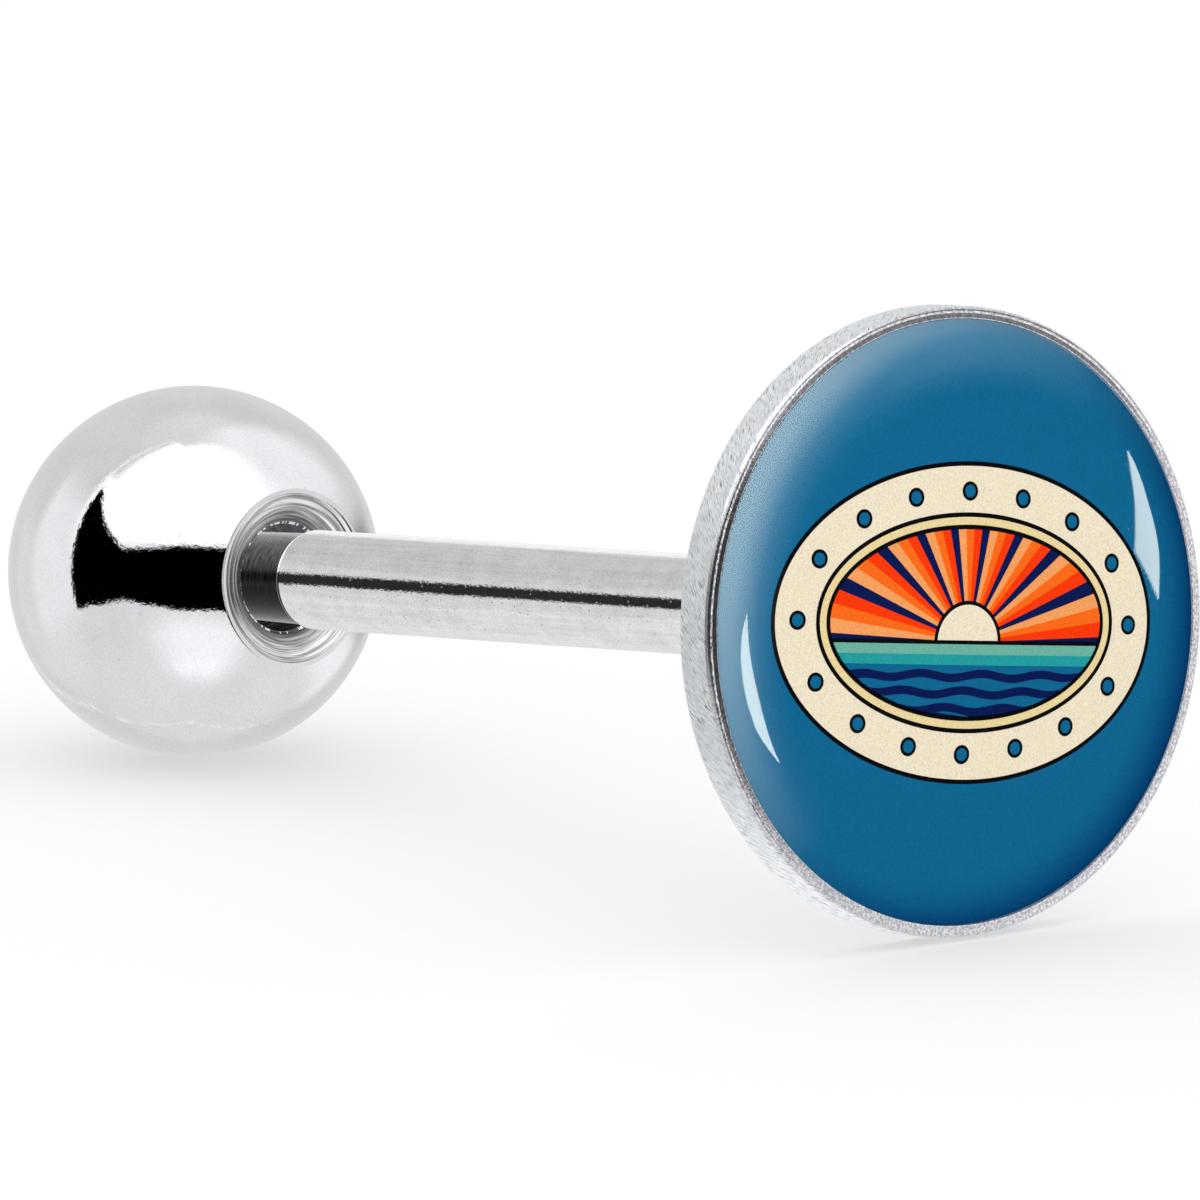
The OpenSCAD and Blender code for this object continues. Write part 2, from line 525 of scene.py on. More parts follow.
def makeSatinSteel():
    material, tree, shader = newMetal("satinSteel", (0.78, 0.78, 0.79))
    girth = math.tau * postRadius
    fine = grain(tree, size=0.025, detail=3.0)
    ripple = grain(tree, size=0.055)
    wide = grain(tree, size=0.4, detail=3.0)
    pits = specks(tree, cell=0.1, share=0.4, size=0.016)
    dust = specks(tree, cell=0.05, share=0.3, size=0.01)
    lines = hairlines(surfaceSpot(tree, girth, stretch=(1, 0.04, 1)), width=0.05, lines=0.03)
    streaks = grain(tree, size=0.09, spot=surfaceSpot(tree, girth, stretch=(1, 0.03, 1)))
    shade = dimmed((pits, 0.75), (dust, 0.3), (lines, 0.08))
    shade = shade * (varied(streaks, 0.93, 1.07) * varied(fine, 0.86, 1.14)) * varied(wide, 0.94, 1.06)
    dress(shader, {
        "Base Color": tinted((0.78, 0.78, 0.79), shade), "Roughness": varied(ripple, 0.03, 0.07),
        **bumped((ripple, 0.0026), (pits, -0.003))})
    return material


def makePost():
    size = postSizes
    shoulder = ballRadius + size["shoulderGap"]
    filletStart, filletEnd = cupBack - size["fillet"], postRadius + size["fillet"]
    threadStart = (size["studRadius"], studTip + size["tipChamfer"])
    neckEnd = (size["neckRadius"], shoulder - size["shoulderStep"])
    neckFoot = (size["neckRadius"] - size["neckTaper"], size["neckStart"])
    corners = [(0, studTip, 0), (size["studRadius"] - size["tipChamfer"], studTip, 0), (*threadStart, 0)]
    corners += between(threadStart, (size["studRadius"], size["neckStart"]), size["threadRows"])
    corners += [(size["studRadius"], size["neckStart"], 0), (*neckFoot, 0)]
    corners += between(neckFoot, neckEnd, size["neckRows"])
    corners += [(*neckEnd, 0), (postRadius, shoulder, size["shoulderRounding"])]
    corners += [(postRadius, shoulder + s * size["shoulderRounding"], 0) for s in (1.2, 1.5, 2)]
    postStart = (postRadius, shoulder + 2 * size["shoulderRounding"])
    corners += between(postStart, (postRadius, filletStart), size["postRows"])
    corners += [(postRadius, filletStart, 0), (postRadius, cupBack, size["fillet"]), (filletEnd, cupBack, 0),
                (filletEnd, cupBack + size["rooted"], 0), (0, cupBack + size["rooted"], 0)]

    def onStud(p):
        depth = (p.y - threadStart[1]) / (size["neckStart"] - threadStart[1])
        onWall = abs(p.x - size["studRadius"]) < 1e-6 and depth > -0.001
        return max(0.0, min(1.0, fadeRate * (1 - depth))) if onWall else 0.0

    mesh = runTree(turningTree, makeProfile(eased(corners), threaded=onStud), {
        "Segments": size["segments"], "Thread pitch": size["threadPitch"],
        "Thread depth": size["threadDepth"], "Material": makeSatinSteel()})
    mesh.materials.append(makePaintedShadeSteel("neckPaintedShadeSteel", (0.24, 0.24, 0.26), 1.0))
    for face in mesh.polygons:  # the neck's painted shade reaches further on its lower side, over the shoulder's rounding
        reach = 1.3 if face.center.y < size["paintedShadeLowSide"] else -0.5
        if size["neckStart"] < face.center.z < shoulder + reach * size["shoulderRounding"]:
            face.material_index = 1
    piece = finishMesh("post_satin", mesh)
    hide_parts("post_and_cup")
    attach(piece, "bar")
    print("post made:", len(mesh.polygons), "faces")
    return piece


pieces["post"] = makePost()

# The shallow cup that holds the print and the dome, with a narrow crest along its lip
cupSizes = {
    "edgeRadius": 0.08 * mm, "lipWidth": 0.2 * mm, "innerRounding": 0.02 * mm, "crestDepth": 0.026 * mm,
    "crestWidth": 0.03 * mm, "crestRise": 0.003 * mm, "recessDepth": 0.25 * mm,
    "backRows": 12, "backEdgeRows": 10, "wallRows": 8, "frontEdgeRows": 14, "segments": 384}


def makeScratchedSteel():
    material, tree, shader = newMetal("scratchedSteel", (0.76, 0.775, 0.79))
    girth = math.tau * cupRadius
    strokes = grain(tree, size=0.02, detail=1.0, spot=surfaceSpot(tree, girth, 0.65, (0.1, 1, 1)))
    crossed = grain(tree, size=0.05, spot=surfaceSpot(tree, girth, 0.95, (0.25, 1, 1)))
    wide = grain(tree, size=0.35, detail=3.0)
    dashes = spread(strokes, 0, 1, 0.55, 0.62) * spread(wide, 0.3, 1, 0.4, 0.6)
    shade = dimmed((dashes, 0.62), (spread(crossed, 0, 1, 0.5, 0.7), 0.2)) * varied(wide, 0.93, 1.07)
    dress(shader, {
        "Base Color": tinted((0.76, 0.775, 0.79), shade), "Roughness": varied(strokes, 0.26, 0.46),
        **bumped((strokes, 0.004), (crossed, 0.004))})
    return material


def makePittedSteel():
    material, tree, shader = newMetal("pittedSteel", (0.8, 0.78, 0.81))
    coarse = grain(tree, size=0.05)
    fine = grain(tree, size=0.022)
    dress(shader, {
        "Base Color": tinted((0.8, 0.78, 0.81), spread(coarse, 0.68, 1.1, 0.4, 0.6)),
        "Roughness": varied(fine, 0.07, 0.16), **bumped((coarse, 0.002), (fine, 0.0008))})
    return material


def makeCup():
    size = cupSizes
    recessRadius = cupRadius - size["lipWidth"]
    recessFloor = lipHeight - size["recessDepth"]
    edge = size["edgeRadius"]
    crest = lipHeight - size["crestDepth"]  # the outer edge's top, from where the lip rises to the resin
    crestEnd = (cupRadius - edge - size["crestWidth"], crest + size["crestRise"])
    corners = [(0, cupBack, 0)] + between((0, cupBack), (cupRadius - edge, cupBack), size["backRows"])
    corners += arc(cupRadius - edge, cupBack + edge, edge, 180, 90, size["backEdgeRows"])
    corners += between((cupRadius, cupBack + edge), (cupRadius, crest - edge), size["wallRows"])
    corners += arc(cupRadius - edge, crest - edge, edge, 90, 4, size["frontEdgeRows"])
    corners += [(*crestEnd, size["crestWidth"] / 6), (recessRadius, lipHeight, size["innerRounding"]),
                (recessRadius, recessFloor, 0), (0, recessFloor, 0)]
    mesh = runTree(turningTree, makeProfile(eased(corners)), {
        "Segments": size["segments"], "Thread pitch": mm, "Material": makeScratchedSteel()})
    mesh.materials.append(makePittedSteel())
    for face in mesh.polygons:
        radius, height = math.hypot(face.center.x, face.center.y), face.center.z
        if radius > recessRadius - size["innerRounding"] and height > crest - edge / 4:
            face.material_index = 1
    piece = finishMesh("cup_scratched", mesh)
    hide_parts("post_and_cup")
    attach(piece, "bar")
    print("cup made:", len(mesh.polygons), "faces")
    return piece


pieces["cup"] = makeCup()

# The printed disc under the dome: a blue ground and thin layers of ink, in millimetres across and up the
# picture. The ground's first fade is painted shade, its second painted light: a tone, its direction, its
# centre's shift, and where it starts and ends.
printSizes = {
    "groundTop": 0.03 * mm, "inkFoot": 0.005 * mm, "inkStep": 0.003 * mm, "turn": -7.15,
    "paintedRimLightAndShade": [("paintedShadeBlue", -0.52, -0.45, 4.15, 5.2), ("paintedLightBlue", -0.87, 1.0, 4.15, 5.2)],
    "panel": (2.62, 1.44), "horizon": -0.3, "sunRadius": 0.58, "sunEdge": 0.06, "rays": 9, "rayShare": 0.25,
    "rayStart": 0.2 * mm, "rayGrid": (9, 2), "dots": 16, "dotSides": 28, "dotLineSides": 128,
    "waves": 14.0, "waveShift": 1.9, "waveEnds": 8.0, "waveGrid": (72, 12),
    "segments": 256, "ovalSegments": 160}
# The second and third blues stand for no ink: they are painted shade and painted light at the ground's rim
inks = {
    "blue": (0.0065, 0.138, 0.292), "paintedShadeBlue": (0.0012, 0.052, 0.178), "paintedLightBlue": (0.0195, 0.183, 0.347),
    "cream": (0.9, 0.8, 0.6), "pale": (0.86, 0.7, 0.36), "black": (0.004, 0.004, 0.006),
    "navy": (0.004, 0.012, 0.085), "teal": (0.02, 0.35, 0.36), "seaGreen": (0.16, 0.46, 0.37),
    "redOrange": (1.0, 0.045, 0.004), "orange": (1.0, 0.155, 0.012), "peach": (0.95, 0.37, 0.12)}
printCentre = toRow @ Vector((0, 0, printBottom))


def makeInk(name):
    material, tree, shader = newMaterial(name + "Ink", {
        "Base Color": (*inks[name], 1), "Roughness": 0.5, "Specular IOR Level": 0.0})  # the resin wets it
    fine = grain(tree, size=0.03, detail=3.0)
    shade = varied(fine, 0.88, 1.12)
    colour = tinted(inks[name], shade)
    if name == "blue":  # painted shade deepens the ground towards its lower right edge, painted light lightens it at its upper left
        spot = output(tree, "ShaderNodeTexCoord", pick="Object")
        for paintedTone, turn, shift, near, far in printSizes["paintedRimLightAndShade"]:
            toward = toRow.to_3x3() @ Vector((math.cos(turn), math.sin(turn), 0))
            away = output(tree, "ShaderNodeVectorMath", {
                0: spot, 1: tuple(printCentre + toward * shift * mm)}, "Value", operation="DISTANCE")
            share = output(tree, "ShaderNodeMapRange", {
                "Value": away, "From Min": near * mm, "From Max": far * mm}, interpolation_type="SMOOTHSTEP")
            faded = {"Factor": share, "A": colour, "B": tinted(inks[paintedTone], shade)}
            colour = output(tree, "ShaderNodeMix", faded, "Result", data_type="VECTOR")
    dress(shader, {"Base Color": colour, "Roughness": varied(fine, 0.4, 0.6), **bumped((fine, 0.0005))})
    return material


# Round dots at even distances along an oval line
def makeDotsTree():
    tree, given, result = newTree(
        "inkDots", "Count", "Half width", "Half height", "Dot radius", "Low", "High")
    ring = output(tree, "GeometryNodeCurvePrimitiveCircle", {
        "Resolution": printSizes["dotLineSides"], "Radius": 1.0})
    oval = output(tree, "GeometryNodeTransform", {
        "Geometry": ring, "Scale": joined(given["Half width"], given["Half height"], 1.0)})
    points = output(tree, "GeometryNodeCurveToPoints", {"Curve": oval, "Count": given["Count"]}, mode="COUNT")
    middle = (given["Low"] + given["High"]) * 0.5
    raised = output(tree, "GeometryNodeSetPosition", {"Geometry": points, "Offset": joined(0.0, 0.0, middle)})
    dot = output(tree, "GeometryNodeMeshCylinder", {
        "Vertices": printSizes["dotSides"], "Radius": given["Dot radius"],
        "Depth": given["High"] - given["Low"]})
    dots = output(tree, "GeometryNodeInstanceOnPoints", {"Points": raised, "Instance": dot})
    endTree(dots, given["Material"], result)
    return tree


# A row of plates, each a grid of its own that a formula bends into place: u and v run over the plate
def plateGrid(tree, given, columns, rows):
    places = output(tree, "GeometryNodeMeshLine", {"Count": given["Count"], "Offset": (2, 0, 0)})
    plate = output(tree, "GeometryNodeMeshCube", {
        "Size": (1, 1, 1), "Vertices X": columns, "Vertices Y": rows, "Vertices Z": 2})
    plates = output(tree, "GeometryNodeInstanceOnPoints", {"Points": places, "Instance": plate})
    real = output(tree, "GeometryNodeRealizeInstances", {"Geometry": plates})
    x, y, z = split(output(tree, "GeometryNodeInputPosition"))
    which = calc("ROUND", x * 0.5)
    height = given["Low"] + (z + 0.5) * (given["High"] - given["Low"])
    return real, which, x - which * 2.0 + 0.5, y + 0.5, height


# Rays from the sun out to the oval border, evenly turned
def makeRaysTree():
    tree, given, result = newTree(
        "inkRays", "Count", "Start", "Share", "Inner radius", "Centre height", "Half width", "Half height",
        "Low", "High")
    real, which, u, v, height = plateGrid(tree, given, *printSizes["rayGrid"])
    angle = (which + given["Start"] + u * given["Share"]) / given["Count"] * math.pi
    sine, cosine = calc("SINE", angle), calc("COSINE", angle)
    wide, tall, centre = given["Half width"], given["Half height"], given["Centre height"]
    a = (cosine / wide) ** 2.0 + (sine / tall) ** 2.0
    b = centre * sine / (tall * tall)
    c = (centre / tall) ** 2.0 - 1.0
    outer = (calc("SQRT", b * b - a * c) - b) / a
    radius = given["Inner radius"] + (outer - given["Inner radius"]) * v
    bent = output(tree, "GeometryNodeSetPosition", {
        "Geometry": real, "Position": joined(radius * cosine, centre + radius * sine, height)})
    endTree(bent, given["Material"], result)
    return tree


# Level bands across the oval, with waves along their edges
def makeWavesTree():
    tree, given, result = newTree(
        "inkWaves", "Count", "Top", "Pitch", "Width", "Wave", "Waves", "Half width", "Half height",
        "Low", "High")
    real, which, u, v, height = plateGrid(tree, given, *printSizes["waveGrid"])
    wide, tall = given["Half width"], given["Half height"]
    line = given["Top"] - (which * given["Pitch"] + v * given["Width"])
    share = calc("SQRT", calc("MAXIMUM", 0.0, 1.0 - (line / tall) ** 2.0))
    side = u * 2.0 - 1.0
    across = side * wide * share
    phase = across * (given["Waves"] / wide) + which * printSizes["waveShift"]
    wave = calc("SINE", phase) * given["Wave"] * (1.0 - side ** printSizes["waveEnds"])
    bent = output(tree, "GeometryNodeSetPosition", {
        "Geometry": real, "Position": joined(across, line + wave, height)})
    endTree(bent, given["Material"], result)
    return tree


def makePrint():
    size = printSizes
    ground = printTop - size["groundTop"]
    materials = {name: makeInk(name) for name in inks if name not in ("paintedShadeBlue", "paintedLightBlue")}
    dotsTree, raysTree, wavesTree = makeDotsTree(), makeRaysTree(), makeWavesTree()
    empty = bpy.data.meshes.new("empty")
    layers = []

    def level(step):
        return ground + step * size["inkStep"]

    def heights(step):
        return {"Low": ground - size["inkFoot"], "High": level(step)}

    def plate(radius, bottom, top):
        return makeProfile(eased([(0, bottom, 0), (radius, bottom, 0), (radius, top, 0), (0, top, 0)]))

    def oval(ink, step, width, height, centre=(0, 0)):
        made = runTree(turningTree, plate(width * mm, ground - size["inkFoot"], level(step)), {
            "Segments": size["ovalSegments"], "Thread pitch": mm, "Material": materials[ink]})
        shift = Matrix.Translation((centre[0] * mm, centre[1] * mm, 0))
        made.transform(shift @ Matrix.Diagonal((1, height / width, 1, 1)))
        layers.append(made)

    def repeated(tree, ink, step, values):
        numbers = {k: v * mm if isinstance(v, float) else v for k, v in values.items()}
        layers.append(runTree(tree, empty, {**numbers, **heights(step), "Material": materials[ink]}))

    (wide, tall), horizon, sun = size["panel"], size["horizon"], size["sunRadius"]
    panel = {"Half width": wide * mm, "Half height": tall * mm}
    oval("black", 1, wide + 1.07, tall + 1.05)
    oval("cream", 2, wide + 1.0, tall + 0.98)
    for ink, step, radius in (("black", 3, 0.15), ("blue", 4, 0.1)):
        repeated(dotsTree, ink, step, {
            "Count": size["dots"], "Half width": wide + 0.6, "Half height": tall + 0.59,
            "Dot radius": radius})
    oval("black", 3, wide + 0.26, tall + 0.26)
    oval("pale", 4, wide + 0.19, tall + 0.19)
    oval("black", 5, wide + 0.07, tall + 0.07)
    oval("navy", 6, wide, tall)
    for ink, start in (("redOrange", 0.12), ("orange", 0.37), ("peach", 0.62)):
        layers.append(runTree(raysTree, empty, {
            "Count": size["rays"], "Start": start, "Share": size["rayShare"],
            "Inner radius": size["rayStart"], "Centre height": horizon * mm, **panel, **heights(7),
            "Material": materials[ink]}))
    for ink, step, radius in (("black", 8, sun + size["sunEdge"]), ("cream", 9, sun)):
        oval(ink, step, radius, radius, (0, horizon))
    for ink, step, count, top, pitch, width, wave in (
            ("black", 10, 1, horizon + 0.03, 0.5, tall + horizon + 0.0299, 0.0),
            ("blue", 11, 1, horizon - 0.03, 0.5, tall + horizon - 0.0301, 0.0),
            ("seaGreen", 12, 1, horizon - 0.03, 0.5, 0.16, 0.0),
            ("teal", 13, 1, horizon - 0.19, 0.5, 0.16, 0.0),
            ("navy", 12, 3, horizon - 0.45, 0.26, 0.13, 0.035)):
        layers.append(runTree(wavesTree, empty, {
            "Count": count, "Top": top * mm, "Pitch": pitch * mm, "Width": width * mm, "Wave": wave * mm,
            "Waves": size["waves"], **panel, **heights(step), "Material": materials[ink]}))
    base = runTree(turningTree, plate(printRadius, printBottom, ground), {
        "Segments": size["segments"], "Thread pitch": mm, "Material": materials["blue"]})
    picture = bmesh.new()
    names = [materials["blue"].name]
    picture.from_mesh(base)
    for made in layers:
        ink = made.materials[0].name
        if ink not in names:
            names.append(ink)
        before = len(picture.faces)
        picture.from_mesh(made)
        picture.faces.ensure_lookup_table()
        for face in picture.faces[before:]:
            face.material_index = names.index(ink)
    for layer in list(picture.loops.layers.uv):
        if layer.name != "UVMap":
            picture.loops.layers.uv.remove(layer)
    mesh = bpy.data.meshes.new("picture")
    picture.to_mesh(mesh)
    picture.free()
    for name in names:
        mesh.materials.append(bpy.data.materials[name])
    mesh.transform(Matrix.Rotation(math.radians(size["turn"]), 4, "Z"))
    piece = finishMesh("print_picture", mesh)
    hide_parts("printed_disc")
    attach(piece, "bar")
    print("print made:", len(mesh.polygons), "faces,", len(names), "inks")
    return piece


makePrint()

# The clear dome: its slope grows evenly from the middle, and ever faster towards the rim
domeSizes = {
    "rimSlope": 50.0, "quickening": 10.0, "overlap": 0.043 * mm, "wetGap": 0.027 * mm,
    "rows": 130, "halvings": 50, "segments": 384}


def makeClearResin():
    material, tree, shader = newMaterial("clearResin", {
        "Base Color": (1, 1, 1, 1), "Transmission Weight": 1.0, "IOR": 1.5})
    fine = grain(tree, size=0.1, detail=3.0)
    wide = grain(tree, size=0.8)
    dress(shader, {"Roughness": varied(fine, 0.01, 0.05), **bumped((wide, 0.0006))})
    surface = Field(tree, shader.outputs[0])
    clear = output(tree, "ShaderNodeBsdfTransparent")
    path = addNode(tree, "ShaderNodeLightPath").outputs
    for ray in ("Is Diffuse Ray", "Is Shadow Ray"):
        surface = output(tree, "ShaderNodeMixShader", {0: Field(tree, path[ray]), 1: surface, 2: clear})
    feed(surface, tree.nodes["Material Output"].inputs["Surface"])
    return material


def makeDome():
    size = domeSizes
    castRadius = domeRadius + size["wetGap"]  # the resin is cast right up to the recess wall
    share = 1 - np.linspace(1, 0, size["rows"]) ** 2
    rim = math.radians(size["rimSlope"])

    def fallen(even):  # how far the surface has dropped at each row, if it grew evenly to this slope
        slopes = even * share + (rim - even) * share ** size["quickening"]
        tilt = np.tan(slopes)
        return np.concatenate([[0], np.cumsum((tilt[1:] + tilt[:-1]) / 2 * np.diff(share))]) * castRadius

    even, most = 0.0, rim
    for _ in range(size["halvings"]):
        middle = (even + most) / 2
        if fallen(middle)[-1] < domeTop - lipHeight:
            even = middle
        else:
            most = middle
    corners = [(0, domeBottom - size["overlap"], 0), (castRadius, domeBottom - size["overlap"], 0)]
    corners += [(r * castRadius, domeTop - drop, 0) for r, drop in zip(share[::-1], fallen(even)[::-1])]
    mesh = runTree(turningTree, makeProfile(eased(corners)), {
        "Segments": size["segments"], "Thread pitch": mm, "Material": makeClearResin()})
    piece = finishMesh("dome_clear", mesh, 40)
    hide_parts("clear_dome")
    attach(piece, "bar")
    print("dome made:", len(mesh.polygons), "faces")
    return piece


pieces["dome"] = makeDome()

# Studio: a pale floor and soft light. What the polished surfaces mirror is a light tent for each of them, a
# sphere with brighter and darker fields. They are given by azimuth and height in degrees as seen from the
# piece, from the camera's direction: rows of (azimuth, lowest, highest), columns of (height, first azimuth,
# last), a line of (azimuth, height, half width), or by the slope and turn of the dome's spot that mirrors
# them. A tent's fine windows, of (first azimuth, last, lowest, highest, step), have a closer grid.
studio = {
    "floorRadius": 0.5, "floorSides": 96, "floorGlow": 0.34, "tentRadius": 0.25, "tentStep": 3.0,
    "postTentShare": 0.6, "worldGlow": 1.03}


def box(azFirst, azLast, low, high, glow, soft):  # a field with level edges, soft by so much on each side
    return {"rows": [(azFirst, low, high), (azLast, low, high)], "glow": glow, "soft": soft}


band = [(-82, -19, 30), (-80, -19, 44), (-76, -19, 42), (-71, -18, 37), (-63, -18.6, 29), (-56, -18.2, 23),
        (-45, -17, 15), (-32, -20.5, 15.5), (-8, -25, 17.5), (18, -25, 16), (38, -27, 12), (50, -26, 11),
        (70, -26, 11)]
tents = {
    "ball": {"base": 0.84, "tint": (0.985, 0.98, 1, 1), "fine": [(-88, 72, -34, 48, 0.75)], "fields": [
        box(-200, 200, 5, 72, 0.75, (1, 1, 15, 15)),
        box(-125, -70, -30, 45, 0.98, (12, 12, 20, 20)),
        box(95, 160, -45, 0, 1.03, (20, 20, 15, 15)),
        box(-200, -136, -60, 60, 0.76, (1, 14, 20, 20)),
        box(138, 200, -60, 60, 0.75, (14, 1, 20, 20)),
        box(20, 152, 10, 92, 1.03, (40, 28, 25, 22)),
        {"rows": [(-87, 5, 84), (-68, 5, 84), (30, 6, 87), (70, 6, 87)], "glow": 1.3, "soft": (6, 50, 25, 4)},
        {"rows": [(-80, 5, 84), (-68, 5, 84), (30, 6, 86), (90, 10, 84)], "glow": 1.6,
         "soft": (16, 60, 28, 6)},
        box(-45, 60, -85, -20, 1.12, (40, 40, 30, 20)),
        {"line": [(-15, -62, 3), (20, -62, 3)], "glow": 1.2, "soft": 14},
        {"rows": [(-84, 46, 84), (-70, 46, 84), (-66, 46, 70)], "glow": 0.8, "soft": (3, 14, 6, 6)},
        {"line": [(-163, -9, 0.6), (-144, -38, 0.8), (-150, -60, 0.8), (-167, -71, 0.8), (-180, -72, 0.8)],
         "glow": 1.0, "soft": 1.2},
        {"line": [(180, -72, 0.8), (165, -66, 0.8), (149, -45, 0.8), (148, -23, 0.6)],
         "glow": 1.0, "soft": 1.2},
        box(92, 158, -20, 18, 0.1, (26, 26, 14, 14)),
        {"rows": band, "glow": 0.0, "soft": (1.5, 10, 2, 3)}]},
    "post": {"base": 0.82, "tint": (0.985, 0.98, 1, 1), "fine": [(-180, -86, -18, 50, 1.0)], "fields": [
        box(-200, -90, 15, 60, 0.7, (1, 20, 12, 20)),
        box(120, 200, 15, 60, 0.7, (20, 1, 12, 20)),
        box(-200, -90, -60, -12, 0.9, (1, 10, 10, 12)),
        box(-200, -166, 5, 32, 1.06, (1, 5, 6, 6)),
        box(-168, -122, 7, 29, 1.9, (4, 4, 4, 3)),
        box(-60, 110, 22, 80, 2.2, (20, 20, 12, 10)),
        box(-80, 100, -40, 18, 0.1, (15, 12, 12, 8)),
        box(-118, -90, -6, 12, 0.03, (2, 2, 2, 3))]},
    "cup": {"base": 0.84, "tint": (0.97, 0.985, 1, 1), "fine": [(-100, 120, -60, 60, 1.5)], "fields": [
        box(-200, -90, 12, 75, 0.98, (1, 20, 15, 10)),
        box(120, 200, 12, 75, 1.0, (20, 1, 15, 10)),
        box(-200, -70, -85, -25, 0.95, (1, 20, 10, 20)),
        box(-200, -118, -80, -12, 1.3, (1, 30, 10, 14)),
        {"rows": [(-84, -30, 24), (40, -30, 18), (71, -30, 9)], "glow": 0.05, "soft": (22, 5, 22, 8)},
        box(-90, 68, 24, 82, 1.8, (12, 8, 8, 8)),
        box(52, 112, 6, 36, 0.25, (8, 8, 6, 8)),
        box(30, 90, -70, -18, 0.8, (10, 10, 15, 8)),
        {"rows": [(62, -11, 8), (88, -14, 8)], "glow": 1.35, "soft": (3, 3, 3, 3)}]},
    "dome": {"base": 0.0, "tint": (0.95, 1, 0.87, 1), "fine": [
        (0, 116, -36, 20, 0.75), (97, 111, -2, 14.5, 0.35), (10, 30, -31.5, -26, 0.3)], "fields": [
        {"slopes": [(18, 0), (22, 0.45), (26, 1.2), (33, 3.9), (40, 6.4), (50, 7.3)],
         "turns": [(55, 0), (70, 0.08), (80, 0.18), (90, 0.3), (105, 0.5), (120, 0.8), (135, 0.97), (150, 1),
                   (165, 0.92), (180, 0.68), (195, 0.42), (210, 0.18), (225, 0)]},
        {"slopes": [(16, 0), (19, 0.25), (22, 0.7), (29, 1.0), (36, 1.2), (48, 1.5)],
         "turns": [(50, 0), (70, 0.45), (90, 1), (105, 0.9), (125, 0)]},
        {"columns": [
            (-0.9, 105.4, 105.6), (-0.2, 103.8, 106), (0.6, 102.3, 106.4), (1.3, 100.9, 106.8),
            (2, 99.7, 107.2), (2.6, 98.8, 107.6), (3.4, 99.2, 108.1), (4.3, 99.8, 108.4),
            (5.3, 100.5, 108.5), (6.2, 101.2, 108.5), (7.2, 102, 108.4), (8.3, 102.9, 108.6),
            (9.4, 103.9, 109.1), (10.6, 105, 109.5), (12.2, 107.2, 110), (13.5, 109, 109.6)],
         "glow": 9.0, "soft": 0.5},
        {"columns": [
            (-31.2, 28, 29.2), (-30.2, 21.5, 28.4), (-29.6, 18, 27.6), (-28.7, 15.4, 26.5),
            (-27.3, 11.8, 25.7), (-25.6, 11.5, 24.9), (-23.6, 9.3, 24), (-21.5, 7.9, 23),
            (-19.2, 7.1, 22), (-17, 6.3, 20.6), (-14.7, 6, 19.1), (-12.2, 6.3, 17.5), (-9.8, 6.9, 16.4),
            (-7.7, 7.7, 15.6), (-5.6, 9.2, 14.9), (-3.4, 11.6, 14.3), (-1.9, 13.5, 13.1)],
         "glow": 16.0, "soft": 1.0}]}}


def towards(azimuth, elevation):
    a, e = np.radians(azimuth)[..., None], np.radians(elevation)[..., None]
    return (np.array(towardCamera) * np.cos(e) * np.cos(a) + np.array(cameraRight) * np.cos(e) * np.sin(a)
            + np.array(cameraUp) * np.sin(e))


def rising(x):
    x = np.clip(x, 0, 1)
    return x * x * (3 - 2 * x)


def fieldShare(field, az, el):
    if "rows" in field:
        rowAz, low, high = (np.array(column, float) for column in zip(*field["rows"]))
        low, high = np.interp(az, rowAz, low), np.interp(az, rowAz, high)
        left, right, bottom, top = field["soft"]
        return (rising((az - rowAz[0]) / left) * rising((rowAz[-1] - az) / right)
                * rising((el - low) / bottom) * rising((high - el) / top))
    if "columns" in field:
        columnEl, left, right = (np.array(row, float) for row in zip(*field["columns"]))
        soft = field["soft"]
        inside = (el > columnEl[0]) * (el < columnEl[-1])
        return (inside * rising((az - np.interp(el, columnEl, left)) / soft + 0.5)
                * rising((np.interp(el, columnEl, right) - az) / soft + 0.5))
    if "slopes" in field:
        half = towards(az, el) + np.array(towardCamera)
        half = half / np.maximum(np.linalg.norm(half, axis=-1, keepdims=True), 1e-9)
        half = half @ np.array(toRow.to_3x3())
        slope = np.degrees(np.arccos(np.clip(half[..., 2], -1, 1)))
        turn = np.degrees(np.arctan2(half[..., 1], half[..., 0])) % 360
        return np.interp(slope, *zip(*field["slopes"])) * np.interp(turn, *zip(*field["turns"]))
    share = np.zeros(az.shape)
    for (a0, e0, w0), (a1, e1, w1) in zip(field["line"], field["line"][1:]):
        t = np.clip(((az - a0) * (a1 - a0) + (el - e0) * (e1 - e0)) / ((a1 - a0) ** 2 + (e1 - e0) ** 2), 0, 1)
        away = np.hypot(az - a0 - t * (a1 - a0), el - e0 - t * (e1 - e0))
        share = np.maximum(share, rising((w0 + t * (w1 - w0) - away) / field["soft"] + 0.5))
    return share


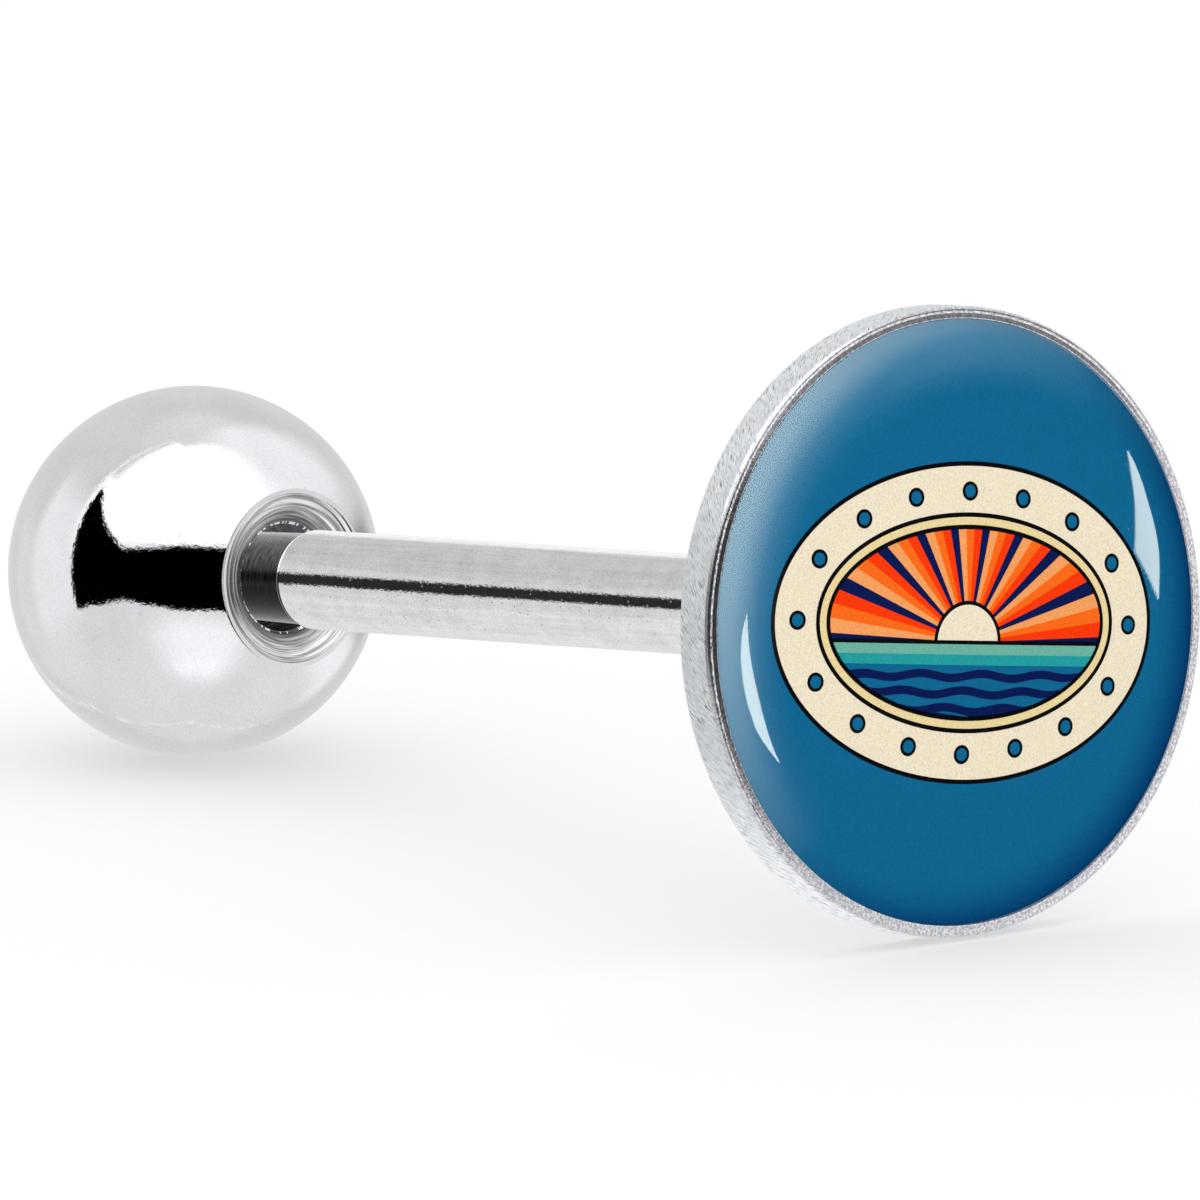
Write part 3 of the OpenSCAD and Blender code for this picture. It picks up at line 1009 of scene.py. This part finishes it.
def makeTent(name, centre, piece):
    tentPlan = tents[name]
    step = studio["tentStep"]
    azLines, elLines = [np.arange(-180, 181, step)], [np.arange(-90, 91, step)]
    for azLow, azHigh, elLow, elHigh, fineStep in tentPlan["fine"]:
        azLines.append(np.arange(azLow, azHigh, fineStep))
        elLines.append(np.arange(elLow, elHigh, fineStep))
    azLines, elLines = np.unique(np.concatenate(azLines)), np.unique(np.concatenate(elLines))
    az, el = np.meshgrid(azLines, elLines, indexing="ij")
    glow = np.full(az.shape, tentPlan["base"])
    for field in tentPlan["fields"]:
        share = fieldShare(field, az, el)
        glow = np.maximum(glow, share) if "slopes" in field else glow * (1 - share) + field["glow"] * share
    points = np.array(centre) + towards(az, el) * studio["tentRadius"]
    rows, columns = az.shape
    corner = (np.arange(rows - 1)[:, None] * columns + np.arange(columns - 1)[None, :]).reshape(-1)
    faces = np.stack([corner, corner + 1, corner + columns + 1, corner + columns], 1)
    name += "Tent"
    mesh = bpy.data.meshes.new(name)
    mesh.from_pydata(points.reshape(-1, 3).tolist(), [], faces.tolist())
    mesh.attributes.new("glow", "FLOAT", "POINT").data.foreach_set("value", glow.reshape(-1))
    material = bpy.data.materials.new(name)
    material.use_nodes = True
    material.cycles.emission_sampling = "NONE"
    tree = material.node_tree
    tree.nodes.remove(tree.nodes["Principled BSDF"])
    strength = output(tree, "ShaderNodeAttribute", pick="Fac", attribute_name="glow")
    light = output(tree, "ShaderNodeEmission", {"Color": tentPlan["tint"], "Strength": strength})
    surface = output(tree, "ShaderNodeAddShader", {0: light, 1: output(tree, "ShaderNodeBsdfTransparent")})
    feed(surface, tree.nodes["Material Output"].inputs["Surface"])
    mesh.materials.append(material)
    tent = bpy.data.objects.new(name, mesh)
    scene.collection.objects.link(tent)
    tent.visible_camera = tent.visible_diffuse = tent.visible_shadow = tent.visible_transmission = False
    lit = bpy.data.collections.new(name + "Lights")
    lit.objects.link(piece)
    tent.light_linking.receiver_collection = lit


def makeStudio():
    world = bpy.data.worlds.new("world")
    scene.world = world
    world.use_nodes = True
    tree = world.node_tree
    mirrored = output(tree, "ShaderNodeLightPath", pick="Is Glossy Ray")
    dress(tree.nodes["Background"], {
        "Color": (1, 1, 1, 1), "Strength": (1.0 - mirrored) * studio["worldGlow"]})
    work = bmesh.new()
    bmesh.ops.create_circle(work, cap_ends=True, segments=studio["floorSides"], radius=studio["floorRadius"])
    mesh = bpy.data.meshes.new("floor")
    work.to_mesh(mesh)
    work.free()
    floor = bpy.data.objects.new("floor", mesh)
    scene.collection.objects.link(floor)
    mesh.materials.append(newMaterial("floorPaper", {
        "Base Color": (0.65, 0.65, 0.65, 1), "Roughness": 0.9, "Specular IOR Level": 0.0,
        "Emission Color": (1, 1, 1, 1), "Emission Strength": studio["floorGlow"]})[0])
    floor.visible_glossy = False
    for name in ("ball", "post"):  # neither shows in the other's polish
        pieces[name].visible_glossy = False
    centres = {"ball": 0, "post": cupBack * studio["postTentShare"], "cup": lipHeight, "dome": domeTop}
    for name, height in centres.items():
        makeTent(name, toRow @ Vector((0, 0, height)), pieces[name])
    scene.view_settings.view_transform = "Standard"
    print("studio ready")


makeStudio()

bpy.context.view_layer.update()
print("finished")
